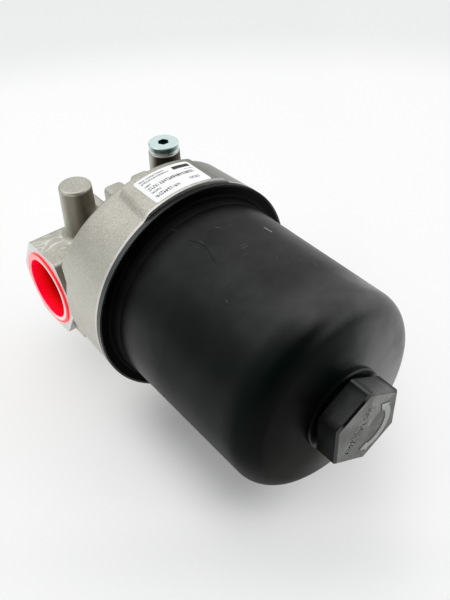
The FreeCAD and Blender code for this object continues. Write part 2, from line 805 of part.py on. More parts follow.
def bowl_seal():
    """The ring in the groove of the bowl's neck."""
    body = ring_seal("bowl_seal", "neck_pilot_radius + running_gap * 0.9", "bowl_seal_section",
                     "bowl_seal_squeeze + running_gap * 0.2", SEAL_MIDDLE)
    return node(body, "bowl_seal", y=SEAT, z="flange_radius")


def port_plug(name, side):
    """A hollow plug pushed into a port, its rounded flange on the machined face."""
    body = new_body(name)
    bottom = "-plug_depth"
    plug = revolve(body, name + "_cup", [
        (bottom, "0"),
        (bottom, "plug_mouth_radius + plug_wall - plug_taper"),
        ("0", "plug_mouth_radius + plug_wall - 0.4"),
        ("0", "plug_flange_radius"),
        ("plug_flange_height", "plug_flange_radius"),
        ("plug_flange_height", "plug_mouth_radius"),
        (f"{bottom} + plug_wall", "plug_mouth_radius - plug_taper"),
        (f"{bottom} + plug_wall", "0"),
    ], axis="H_Axis")
    top = number("plug_flange_height")
    soften(body, name + "_round", plug, lambda edge, middle: abs(middle.x - top) < 0.01, "plug_flange_height * 0.45")
    if side < 0:
        body.Placement = Placement(Vector(0, 0, 0), HALF_TURN)
    return node(body, name, x=f"{side} * port_span / 2", z="flange_radius - port_drop")


def gauge_screw():
    """The zinc-plated screw plug with a hexagon socket in the gauge boss."""
    body = new_body("gauge_port_screw")
    turned = revolve(body, "screw_turned", [
        ("0", "-screw_thread_length"),
        ("screw_thread_radius - 1", "-screw_thread_length"),
        ("screw_thread_radius", "-screw_thread_length + 1"),
        ("screw_thread_radius", "0"),
        ("screw_collar_radius", "0"),
        ("screw_collar_radius", "screw_collar_height"),
        ("0", "screw_collar_height"),
    ], role="XZ_Plane")
    top = number("screw_collar_height")
    chamfered = soften(body, "screw_bevel", turned, lambda edge, middle: abs(middle.z - top) < 0.01
                       and math.hypot(middle.x, middle.y) > 1, "screw_collar_height / 6", chamfer=True)
    sketch = new_sketch(body, "socket_plan", "XY_Plane", "screw_collar_height")
    corner = "screw_socket / sqrt(3)"
    outline(sketch, [(corner, "0"), (f"{corner} / 2", "screw_socket / 2"), (f"-{corner} / 2", "screw_socket / 2"),
                     (f"-{corner}", "0"), (f"-{corner} / 2", "-screw_socket / 2"),
                     (f"{corner} / 2", "-screw_socket / 2")])
    extrude(body, "socket", sketch, "screw_socket_depth", cut=True)
    return node(body, "gauge_port_screw", x="gauge_spacing / 2", y="gauge_setback",
                z="flange_radius + gauge_boss_height + washer_thickness")


def gauge_washer():
    """The sealing washer under the screw plug."""
    body = new_body("gauge_port_washer")
    revolve(body, "washer_ring", [
        ("screw_thread_radius + screw_gap * 2", "0"),
        ("screw_collar_radius - 0.1", "0"),
        ("screw_collar_radius - 0.1", "washer_thickness"),
        ("screw_thread_radius + screw_gap * 2", "washer_thickness"),
    ], role="XZ_Plane")
    return node(body, "gauge_port_washer", x="gauge_spacing / 2", y="gauge_setback",
                z="flange_radius + gauge_boss_height")


def type_label():
    """The curved label on the raised pad, with rounded corners."""
    shell = new_body("label_shell")
    front = "-seat_setback + label_setback"
    revolve(shell, "label_drum", [
        ("flange_radius + pad_rise", front),
        ("flange_radius + pad_rise + label_thickness", front),
        ("flange_radius + pad_rise + label_thickness", f"{front} + label_length"),
        ("flange_radius + pad_rise", f"{front} + label_length"),
    ])
    blank = new_body("label_blank")
    sketch = new_sketch(blank, "label_plan", "XY_Plane")
    rectangle(sketch, "-label_width / 2", "label_width / 2", front, f"{front} + label_length")
    block = extrude(blank, "label_block", sketch, "flange_radius + 20")
    soften(blank, "label_corners", block, lambda edge, middle: abs(middle.z - number("flange_radius + 20") / 2) < 0.1,
           "label_length / 14")
    label = doc.addObject("Part::Common", "label_sheet")
    label.Base = shell
    label.Tool = blank
    doc.recompute()
    return node(label, "type_label", z="flange_radius")


def element_pleats():
    """The pleated wire cloth: a closed zigzag wall between the two caps."""
    count = int(number("pleat_count"))
    outer = number("pleat_outer_radius")
    inner = number("pleat_inner_radius")
    fold = number("pleat_fold")
    start = number(f"{ELEMENT_END} + cap_web")
    length = number("element_length - 2 * cap_web")

    def zigzag(tip, valley):
        ring = []
        for index in range(2 * count):
            radius = tip if index % 2 else valley
            angle = math.pi * index / count
            ring.append(Vector(radius * math.cos(angle), start, radius * math.sin(angle)))
        return Part.makePolygon(ring + ring[:1])

    face = Part.Face([zigzag(outer, inner + fold), zigzag(outer - fold, inner)])
    if not face.isValid():
        face.validate()
    pleats = doc.addObject("Part::Feature", "element_pleats")
    pleats.Shape = face.extrude(Vector(0, length, 0))
    return node(pleats, "element_pleats", z="flange_radius")


def element_core():
    """The slotted tube that holds the pleats out against the suction."""
    body = new_body("element_core")
    low = f"{ELEMENT_END} + cap_web"
    high = f"{CAP_TOP} - cap_web"
    revolve(body, "core_tube", [
        ("core_radius - core_wall", low),
        ("core_radius", low),
        ("core_radius", high),
        ("core_radius - core_wall", high),
    ])
    sketch = new_sketch(body, "window_plan", "YZ_Plane")
    rows = int(number("window_rows"))
    middle = f"({low} + {high}) / 2"
    for index in range(rows):
        place = f"({middle}) + window_pitch * {index - (rows - 1) / 2}"
        rectangle(sketch, f"{place} - window_height / 2", f"{place} + window_height / 2",
                  "-window_width / 2", "window_width / 2")
    window = extrude(body, "window_cut", sketch, "4 * core_radius", midplane=True, cut=True)
    pattern = body.newObject("PartDesign::PolarPattern", "windows_around")
    pattern.Originals = [window]
    pattern.Axis = (new_axis_sketch(body), ["V_Axis"])
    pattern.Angle = 180 - 360 / number("window_columns")
    pattern.Occurrences = int(number("window_columns") / 2)
    body.Tip = pattern
    doc.recompute()
    return node(body, "element_core", z="flange_radius")


def new_axis_sketch(body):
    """An empty sketch whose vertical axis is the filter's axis."""
    sketch = new_sketch(body, "axis_reference", "XY_Plane")
    sketch.Visibility = False
    return sketch


def upper_cap():
    """The cap that slides on the spigot, with a groove for its sealing ring."""
    body = new_body("element_upper_cap")
    bore = "spigot_radius + running_gap"
    groove = f"{ELEMENT_SEAL_MIDDLE}"
    deep = "spigot_radius + element_seal_section - element_seal_squeeze"
    revolve(body, "upper_cap_disc", [
        (bore, CAP_TOP),
        (bore, f"{groove} + element_seal_section * 0.6"),
        (deep, f"{groove} + element_seal_section * 0.6"),
        (deep, f"{groove} - element_seal_section * 0.6"),
        (bore, f"{groove} - element_seal_section * 0.6"),
        (bore, f"{CAP_TOP} - cap_height"),
        ("core_radius - core_wall", f"{CAP_TOP} - cap_height"),
        ("core_radius - core_wall", f"{CAP_TOP} - cap_web"),
        ("cap_radius - cap_lip", f"{CAP_TOP} - cap_web"),
        ("cap_radius - cap_lip", f"{CAP_TOP} - cap_height"),
        ("cap_radius", f"{CAP_TOP} - cap_height"),
        ("cap_radius", CAP_TOP),
    ])
    return node(body, "element_upper_cap", z="flange_radius")



def element_seal():
    """The ring between spigot and upper cap."""
    body = new_body("element_seal")
    low = f"{ELEMENT_SEAL_MIDDLE} - element_seal_section / 2"
    high = f"{ELEMENT_SEAL_MIDDLE} + element_seal_section / 2"
    near = "spigot_radius + 0.05"
    far = "spigot_radius + element_seal_section - element_seal_squeeze"
    ring = revolve(body, "element_ring", [(near, low), (far, low), (far, high), (near, high)])
    soften(body, "element_ring_round", ring, lambda edge, middle: True, "element_seal_section * 0.36")
    return node(body, "element_seal", z="flange_radius")


def lower_cap():
    """The lower cap, with the raised seat of the bypass valve around its port."""
    body = new_body("element_lower_cap")
    inside = f"{ELEMENT_END} + cap_web"
    revolve(body, "lower_cap_disc", [
        ("valve_port_radius", ELEMENT_END),
        ("cap_radius", ELEMENT_END),
        ("cap_radius", f"{ELEMENT_END} + cap_height"),
        ("cap_radius - cap_lip", f"{ELEMENT_END} + cap_height"),
        ("cap_radius - cap_lip", inside),
        ("valve_port_radius + valve_seat_width", inside),
        ("valve_port_radius + valve_seat_width", f"{inside} + valve_seat_height"),
        ("valve_port_radius", f"{inside} + valve_seat_height"),
    ])
    return node(body, "element_lower_cap", z="flange_radius")




def bypass_seal():
    """The rubber facing of the valve disc."""
    body = new_body("bypass_seal")
    revolve(body, "facing_ring", [
        ("valve_port_radius - 2", VALVE_SEAT),
        ("valve_disc_radius", VALVE_SEAT),
        ("valve_disc_radius", f"{VALVE_SEAT} + valve_seal_thickness"),
        ("valve_port_radius - 2", f"{VALVE_SEAT} + valve_seal_thickness"),
    ])
    return node(body, "bypass_seal", z="flange_radius")


def bypass_valve():
    """The valve disc and its stem, turned from one piece."""
    body = new_body("bypass_valve")
    face = f"{VALVE_SEAT} + valve_seal_thickness"
    disc = "valve_disc_thickness"
    revolve(body, "valve_turned", [
        ("0", VALVE_SEAT),
        ("valve_port_radius - 2.1", VALVE_SEAT),
        ("valve_port_radius - 2.1", face),
        ("valve_disc_radius", face),
        ("valve_disc_radius", f"{face} + {disc}"),
        ("valve_stem_radius", f"{face} + {disc}"),
        ("valve_stem_radius", f"{CAGE_FLOOR} + cage_height + valve_nut_height + valve_stem_end"),
        ("0", f"{CAGE_FLOOR} + cage_height + valve_nut_height + valve_stem_end"),
    ])
    return node(body, "bypass_valve", z="flange_radius")


def bypass_cage():
    """The cage that guides the stem and holds the valve's spring."""
    body = new_body("bypass_cage")
    roof = f"{CAGE_FLOOR} + cage_height"
    revolve(body, "cage_cup", [
        ("cage_radius - cage_wall", CAGE_FLOOR),
        ("cage_radius", CAGE_FLOOR),
        ("cage_radius", roof),
        ("valve_stem_radius + running_gap", roof),
        ("valve_stem_radius + running_gap", f"{roof} - cage_wall"),
        ("cage_radius - cage_wall", f"{roof} - cage_wall"),
    ])
    sketch = new_sketch(body, "cage_window_plan", "YZ_Plane")
    rectangle(sketch, f"{CAGE_FLOOR} + 3 * cage_wall", f"{roof} - 3 * cage_wall",
              "-cage_window / 2", "cage_window / 2")
    window = extrude(body, "cage_window_cut", sketch, "2 * cage_radius", cut=True)
    pattern = body.newObject("PartDesign::PolarPattern", "cage_windows")
    pattern.Originals = [window]
    pattern.Axis = (new_axis_sketch(body), ["V_Axis"])
    pattern.Angle = 360
    pattern.Occurrences = 3
    body.Tip = pattern
    doc.recompute()
    return node(body, "bypass_cage", z="flange_radius")


def coil(name, mean_radius, wire, turns, low, high):
    """A coil spring between two heights on the filter's axis."""
    body = new_body(name)
    sketch = new_sketch(body, name + "_wire", "XY_Plane")
    sides = int(number("wire_sides"))
    across = f"({wire} / 2 * {math.sqrt(2 * math.pi / sides / math.sin(2 * math.pi / sides)):.5f})"
    polygon(sketch, [(f"{mean_radius} + {across} * cos({turn})", f"{low} + {wire} / 2 + {across} * sin({turn})")
                     for turn in [360 * (step + 0.5) / sides for step in range(sides)]])
    spring = body.newObject("PartDesign::AdditiveHelix", name + "_coil")
    spring.Profile = sketch
    spring.ReferenceAxis = (sketch, ["V_Axis"])
    spring.Mode = 0
    sketch.Visibility = False
    rise = f"({high}) - ({low}) - {wire}"
    tie(spring, Pitch=f"({rise}) / {turns}", Height=rise)
    body.Tip = spring
    doc.recompute()
    return node(body, name, z="flange_radius")


def bypass_nut():
    """The lock nut that stops the stem on the cage."""
    body = new_body("bypass_nut")
    sketch = new_sketch(body, "nut_plan", "XZ_Plane", f"-({CAGE_FLOOR} + cage_height)")
    corner = "valve_nut_size / sqrt(3)"
    outline(sketch, [("0", corner), ("valve_nut_size / 2", f"{corner} / 2"), ("valve_nut_size / 2", f"-{corner} / 2"),
                     ("0", f"-{corner}"), ("-valve_nut_size / 2", f"-{corner} / 2"),
                     ("-valve_nut_size / 2", f"{corner} / 2")])
    circle(sketch, "0", "0", "valve_stem_radius + screw_gap / 2")
    extrude(body, "nut_block", sketch, "valve_nut_height", reverse=True)
    return node(body, "bypass_nut", z="flange_radius")


def spring_cup():
    """The pressed cup that centres the support spring under the element."""
    body = new_body("spring_cup")
    revolve(body, "cup_pressing", [
        ("valve_port_radius", f"{ELEMENT_END} - spring_cup_thickness"),
        ("spring_cup_radius - spring_cup_thickness", f"{ELEMENT_END} - spring_cup_thickness"),
        ("spring_cup_radius - spring_cup_thickness", f"{ELEMENT_END} - spring_cup_thickness - spring_cup_rim"),
        ("spring_cup_radius", f"{ELEMENT_END} - spring_cup_thickness - spring_cup_rim"),
        ("spring_cup_radius", ELEMENT_END),
        ("valve_port_radius", ELEMENT_END),
    ])
    return node(body, "spring_cup", z="flange_radius")


filter_head()
filter_bowl()
bowl_seal()
port_plug("inlet_port_plug", -1)
port_plug("outlet_port_plug", 1)
gauge_screw()
gauge_washer()
type_label()
element_pleats()
element_core()
upper_cap()
lower_cap()
element_seal()
bypass_seal()
bypass_valve()
bypass_cage()
coil("bypass_spring", "valve_spring_radius", "valve_spring_wire", "valve_spring_turns",
     f"{VALVE_SEAT} + valve_seal_thickness + valve_disc_thickness", f"{CAGE_FLOOR} + cage_height - cage_wall")
bypass_nut()
spring_cup()
coil("support_spring", "support_spring_radius", "support_spring_wire", "support_spring_turns",
     f"{BOWL_END} + bowl_wall + running_gap + support_spring_radius ^ 2 / crown_radius / 2",
     f"{ELEMENT_END} - spring_cup_thickness")
doc.recompute()

faults = [thing.Label for thing in doc.Objects if "Invalid" in thing.State or "Error" in thing.State]
faults += [thing.Label for thing in NODES if thing.Shape.isNull() or not thing.Shape.isValid()]
faults += [thing.Label for thing in NODES if len(thing.Shape.Solids) != 1]
if faults:
    raise RuntimeError("failed objects: " + ", ".join(faults))

os.makedirs("parts", exist_ok=True)
for thing in NODES:
    thing.Shape.exportStep(f"parts/{thing.Label}.step")
    bounds = thing.Shape.BoundBox
    print(f"{thing.Label:20s} {thing.Shape.Volume / 1000:9.2f} cm3", bounds)
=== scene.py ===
"""Looks of the inline suction filter: finishes of all parts, the label's print and a pale studio stage."""
import math

import bmesh
import bpy
from mathutils import Euler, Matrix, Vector


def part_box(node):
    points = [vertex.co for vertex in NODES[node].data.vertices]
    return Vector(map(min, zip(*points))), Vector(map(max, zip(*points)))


bl_info = {
    "name": "Inline Suction Filter Studio",
    "version": (1, 0, 0),
    "blender": (4, 5, 0),
    "location": "3D View > Sidebar > Suction Filter",
    "description": "Dresses the packed suction filter and sets it on a pale studio floor",
    "category": "Object",
}

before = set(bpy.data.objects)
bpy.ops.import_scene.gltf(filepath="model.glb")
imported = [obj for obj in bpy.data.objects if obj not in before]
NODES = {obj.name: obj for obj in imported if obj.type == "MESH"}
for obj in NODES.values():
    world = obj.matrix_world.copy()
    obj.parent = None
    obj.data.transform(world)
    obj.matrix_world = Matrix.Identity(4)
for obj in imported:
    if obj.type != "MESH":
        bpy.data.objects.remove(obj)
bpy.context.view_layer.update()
MM = 0.001

# Places on the part, read from its boxes
HEAD_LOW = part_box("filter_head")[0]
BOWL_LOW, BOWL_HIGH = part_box("filter_bowl")
PLUG_LOW, PLUG_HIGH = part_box("outlet_port_plug")
WASHER_LOW, WASHER_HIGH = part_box("gauge_port_washer")
SCREW_LOW, SCREW_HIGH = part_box("gauge_port_screw")
LABEL_LOW, LABEL_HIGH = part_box("type_label")
SEAT = HEAD_LOW.y
AXIS_HEIGHT = (BOWL_LOW.z + BOWL_HIGH.z) / 2
BOWL_END = BOWL_LOW.y
PORT_HEIGHT = (PLUG_LOW.z + PLUG_HIGH.z) / 2
PLUG_FACE = PLUG_HIGH.x
PORT_FACE = PLUG_FACE - 1.2 * MM
GAUGE_TOP = WASHER_LOW.z
GAUGE_PLACE = (WASHER_LOW + WASHER_HIGH) / 2

# Head: limits of its machined and cast faces
SKIN = 0.05 * MM
SEAT_BAND = SEAT + 1.6 * MM
PORT_EDGE = SEAT + 37.4 * MM
BOSS_SIDE = SEAT + 40 * MM
BELL_BACK = SEAT + 42 * MM
ARM_TOP = (PORT_HEIGHT + 24 * MM, PORT_HEIGHT + 26.2 * MM)
ARM_FRONT = SEAT + 56 * MM
BOSS_RADIUS = 11.5 * MM
BOSS_FOOT = (PORT_HEIGHT + 27 * MM, PORT_HEIGHT + 31 * MM)

# Bowl: depths below the seat, and radii from the axis
NECK_SHADE = (5 * MM, 23 * MM)
DOME_DEPTH = 92 * MM
COLLAR_DEPTH = 117 * MM
HEXAGON_DEPTH = 120.4 * MM
FLANGE_EDGE = 62.9 * MM

# Plug: radii of its inside, of the flange's face and of the red ring round that
PLUG_INSIDE = 18.7 * MM
PLUG_FLANGE = (18.4 * MM, 22.5 * MM)
PLUG_RING = 20.9 * MM

# Camera at the photograph's angle, the turn in degrees and the lens in millimetres
CAMERA_PLACE = (-0.1867, -0.34059, 0.34665)
CAMERA_TURN = (48.496, 1.8275, -38.6805)
CAMERA_LENS = 46.164
PICTURE_RIGHT = (0.763, -0.647)

# Label: left, right, top and bottom as shares of it, pitch of the marks and blackness
LABEL_ROWS = (
    (0.07, 0.17, 0.08, 0.13, 0.7 * MM, 1.0),
    (0.19, 0.52, 0.08, 0.13, 0.7 * MM, 1.0),
    (0.07, 0.58, 0.17, 0.225, 0.7 * MM, 1.0),
    (0.80, 0.95, 0.30, 0.35, 0.8 * MM, 0.8),
    (0.07, 0.18, 0.31, 0.37, 0.8 * MM, 1.0),
    (0.07, 0.26, 0.42, 0.53, 1.4 * MM, 1.0),
    (0.28, 0.90, 0.42, 0.53, 1.4 * MM, 1.0),
    (0.07, 0.24, 0.60, 0.66, 0.8 * MM, 1.0),
    (0.07, 0.50, 0.74, 0.85, 1.4 * MM, 1.0),
    (0.70, 0.88, 0.70, 0.80, 1.3 * MM, 1.0),
)

# Bowl: start and end of each mark of handling, its share of the scratch width,
# and its light, which is negative where the mark is dark
BOWL_MARKS = (
    ((-0.0161, -0.0876, 0.1176), (-0.0148, -0.0917, 0.1180), 1.0, -1.0),
    ((-0.0148, -0.0917, 0.1180), (-0.0137, -0.0959, 0.1183), 0.8, -0.9),
    ((-0.0137, -0.0959, 0.1183), (-0.0144, -0.1000, 0.1181), 0.7, -0.8),
    ((-0.0144, -0.1000, 0.1181), (-0.0170, -0.1098, 0.1174), 0.8, -0.9),
    ((-0.0016, -0.0903, 0.1200), (-0.0001, -0.0920, 0.1200), 0.8, 0.2),
    ((-0.0001, -0.0920, 0.1200), (0.0021, -0.0940, 0.1200), 0.7, 0.05),
    ((-0.0018, -0.1102, 0.1200), (0.0017, -0.1105, 0.1200), 0.9, 0.1),
    ((-0.0025, -0.1120, 0.1199), (0.0010, -0.1124, 0.1200), 0.9, 0.13),
    ((-0.0052, -0.1162, 0.1197), (-0.0020, -0.1169, 0.1200), 0.8, 0.05),
    ((0.0198, -0.1026, 0.1164), (0.0205, -0.1076, 0.1161), 1.2, 1.0),
    ((-0.0131, -0.0924, 0.1184), (-0.0130, -0.0955, 0.1185), 1.2, 0.06),
    ((-0.0173, -0.0924, 0.1173), (-0.0158, -0.0959, 0.1177), 1.0, 0.04),
    ((-0.0229, -0.1092, 0.1151), (-0.0124, -0.1114, 0.1186), 0.9, 0.035),
    ((-0.0271, -0.1300, 0.1130), (-0.0273, -0.1314, 0.1129), 1.8, 0.06),
    ((0.0186, -0.1396, 0.1168), (0.0183, -0.1430, 0.1169), 1.0, 0.12),
    ((-0.0169, -0.0745, 0.1174), (-0.0163, -0.0771, 0.1176), 0.8, 0.08),
    ((-0.0543, -0.0995, 0.0777), (-0.0553, -0.1097, 0.0729), 0.8, 0.03),
    ((0.0046, -0.0933, 0.1198), (0.0062, -0.0941, 0.1196), 1.5, 0.04),
    ((0.0059, -0.1278, 0.1197), (0.0050, -0.1292, 0.1198), 1.6, 0.04),
)


class FilterColours(bpy.types.PropertyGroup):
    """Colours that a user would change."""
    casting: bpy.props.FloatVectorProperty(
        name="Casting", description="Cast aluminium of the head", subtype="COLOR",
        size=3, min=0, max=1, default=(0.475, 0.46, 0.403))
    machined: bpy.props.FloatVectorProperty(
        name="Machined faces", description="Seat, gauge seat and foot", subtype="COLOR",
        size=3, min=0, max=1, default=(0.74, 0.73, 0.70))
    bowl: bpy.props.FloatVectorProperty(
        name="Bowl", description="Black moulding of the bowl", subtype="COLOR",
        size=3, min=0, max=1, default=(0.0020, 0.0021, 0.0020))
    plug: bpy.props.FloatVectorProperty(
        name="Port plugs", description="Red protective plugs", subtype="COLOR",
        size=3, min=0, max=1, default=(0.90, 0.002, 0.006))
    zinc: bpy.props.FloatVectorProperty(
        name="Zinc plating", description="Screw plug, washer and valve parts", subtype="COLOR",
        size=3, min=0, max=1, default=(0.55, 0.65, 0.64))
    label: bpy.props.FloatVectorProperty(
        name="Label", description="Film of the label", subtype="COLOR",
        size=3, min=0, max=1, default=(0.97, 0.97, 0.97))
    print_ink: bpy.props.FloatVectorProperty(
        name="Label ink", description="Printed block and marks of the label", subtype="COLOR",
        size=3, min=0, max=1, default=(0.012, 0.012, 0.016))


class FilterSizes(bpy.types.PropertyGroup):
    """Sizes of surface detail that a user would change."""
    cast_grain: bpy.props.FloatProperty(
        name="Casting grain", description="Size of the grain on the casting", unit="LENGTH",
        default=0.0007, min=0.0001, max=0.005, precision=5)
    bowl_grain: bpy.props.FloatProperty(
        name="Moulding grain", description="Size of the fine texture on the bowl", unit="LENGTH",
        default=0.0004, min=0.0001, max=0.005, precision=5)
    scratch_width: bpy.props.FloatProperty(
        name="Scratch width", description="Half width of the marks on the bowl", unit="LENGTH",
        default=0.0003, min=0.00005, max=0.002, precision=5)
    weave: bpy.props.FloatProperty(
        name="Wire cloth pitch", description="Spacing of the wires in the pleated cloth", unit="LENGTH",
        default=0.0008, min=0.0002, max=0.005, precision=5)


class Wire:
    """A socket of a node tree that Python's operators can calculate with."""

    def __init__(self, graph, socket):
        self.graph = graph
        self.socket = socket

    def calculate(self, operation, *values):
        return self.graph.node("ShaderNodeMath", {"operation": operation}, values)

    def __add__(self, other):
        return self.calculate("ADD", self, other)

    __radd__ = __add__

    def __sub__(self, other):
        return self.calculate("SUBTRACT", self, other)

    def __rsub__(self, other):
        return self.calculate("SUBTRACT", other, self)

    def __mul__(self, other):
        return self.calculate("MULTIPLY", self, other)

    __rmul__ = __mul__

    def __truediv__(self, other):
        return self.calculate("DIVIDE", self, other)

    def __rtruediv__(self, other):
        return self.calculate("DIVIDE", other, self)

    def __neg__(self):
        return self * -1.0

    def __gt__(self, other):
        return self.calculate("GREATER_THAN", self, other)

    def __lt__(self, other):
        return self.calculate("LESS_THAN", self, other)

    def __abs__(self):
        return self.calculate("ABSOLUTE", self)

    def either(self, other):
        return self.calculate("MAXIMUM", self, other)

    def both(self, other):
        return self.calculate("MINIMUM", self, other)

    def floor(self):
        return self.calculate("FLOOR", self)

    def sine(self):
        return self.calculate("SINE", self)

    def within(self, low, high):
        """One between two values, nought outside them."""
        return (self > low) * (self < high)

    def rises(self, low, high, start=0.0, end=1.0):
        """A smooth step from start to end while the value goes from low to high."""
        settings = {"interpolation_type": "SMOOTHSTEP", "clamp": True}
        return self.graph.node("ShaderNodeMapRange", settings, (self, low, high, start, end))

    def sibling(self, output):
        """Another output of the same node."""
        return Wire(self.graph, self.socket.node.outputs[output])


class Graph:
    """A node tree with short ways to add nodes and to calculate with their outputs."""

    def __init__(self, tree):
        self.tree = tree

    def node(self, kind, settings=None, inputs=(), output=0):
        """Adds a node: its settings first, then values or wires for its sockets by place or name."""
        made = self.tree.nodes.new(kind)
        for name, value in (settings or {}).items():
            setattr(made, name, value)
        pairs = inputs.items() if isinstance(inputs, dict) else enumerate(inputs)
        for place, value in pairs:
            self.join(made.inputs[place], value)
        return Wire(self, made.outputs[output])

    def join(self, socket, value):
        """Links a wire to a socket, or sets the socket's own value."""
        if isinstance(value, Wire):
            self.tree.links.new(value.socket, socket)
        elif socket.type == "RGBA" and len(value) == 3:
            socket.default_value = (*value, 1.0)
        else:
            socket.default_value = value

    def apart(self, vector):
        """The three coordinates of a vector wire."""
        first = self.node("ShaderNodeSeparateXYZ", inputs=(vector,))
        return first, first.sibling(1), first.sibling(2)

    def joined(self, x, y, z):
        """One vector wire from three values."""
        return self.node("ShaderNodeCombineXYZ", inputs=(x, y, z))

    def vector(self, operation, *values):
        return self.node("ShaderNodeVectorMath", {"operation": operation}, values)

    def measure(self, operation, *values):
        """A number worked out from vectors, such as a length."""
        return self.vector(operation, *values).sibling("Value")

    def noise(self, vector, size, detail=2.0, roughness=0.5, distortion=0.0):
        """Noise from nought to one with lumps of about the given size in metres."""
        return self.node("ShaderNodeTexNoise", inputs={
            "Vector": vector, "Scale": 1.0 / size, "Detail": detail, "Roughness": roughness,
            "Distortion": distortion})

    def cells(self, vector, size):
        """Distance to the nearest point of a random cell pattern."""
        return self.node("ShaderNodeTexVoronoi", {"feature": "F1"},
                         {"Vector": vector, "Scale": 1.0 / size}, output="Distance")

    def mix(self, first, second, factor):
        """A colour between two colours."""
        return self.node("ShaderNodeMix", {"data_type": "RGBA"}, {0: factor, 6: first, 7: second}, 2)


class Finish(Graph):
    """One material, built round a Principled BSDF."""

    def __init__(self, name, **constants):
        self.material = bpy.data.materials.new(name)
        self.material.use_nodes = True
        super().__init__(self.material.node_tree)
        self.shader = self.tree.nodes["Principled BSDF"]
        for socket, value in constants.items():
            self.shader.inputs[socket.replace("_", " ")].default_value = value

    def place(self):
        """The point on the piece, in metres in the frame, as one vector wire."""
        return self.node("ShaderNodeTexCoord", output="Object")

    def feed(self, socket, value):
        """Connects what varies over the surface to the shader."""
        self.join(self.shader.inputs[socket], value)

    def relief(self, height, distance, strength):
        """Turns a height into the shader's normal."""
        settings = {"Strength": strength, "Distance": distance, "Height": height}
        self.feed("Normal", self.node("ShaderNodeBump", inputs=settings))

    def segment(self, place, start, end, width):
        """A soft-edged straight mark between two points on the surface."""
        along = Vector(end) - Vector(start)
        offset = self.vector("SUBTRACT", place, tuple(start))
        share = self.measure("DOT_PRODUCT", offset, tuple(along / along.length_squared))
        share = share.either(0.0).both(1.0)
        foot = self.node("ShaderNodeVectorMath", {"operation": "SCALE"},
                         {0: tuple(along), "Scale": share})
        return self.measure("DISTANCE", offset, foot).rises(width * 0.4, width, 1.0, 0.0)

    def show(self, tone, share):
        """Gives the rays that look a share of a plain colour, which shadows only dim in part."""
        camera = self.node("ShaderNodeLightPath", output="Is Camera Ray")
        glossy, through = camera.sibling("Is Glossy Ray"), camera.sibling("Is Transmission Ray")
        looking = camera.either(glossy).either(through)
        glow = self.node("ShaderNodeEmission", inputs={"Color": tone})
        lit = Wire(self, self.shader.outputs[0])
        surface = self.node("ShaderNodeMixShader", inputs=(looking * share, lit, glow))
        self.join(self.tree.nodes["Material Output"].inputs["Surface"], surface)


def blend(first, second, factor):
    """A number between two numbers."""
    return (second - first) * factor + first


def scaled(colour, factor):
    """A colour made darker or lighter."""
    return tuple(min(1.0, value * factor) for value in colour)


def wear(finish, names, angle=None):
    """Gives CAD parts their finish, and shades them smooth except at edges sharper than the angle."""
    for name in names:
        mesh = NODES[name].data
        mesh.materials.clear()
        mesh.materials.append(finish.material)
        if angle is not None:
            mesh.shade_smooth()
            mesh.set_sharp_from_angle(angle=math.radians(angle))


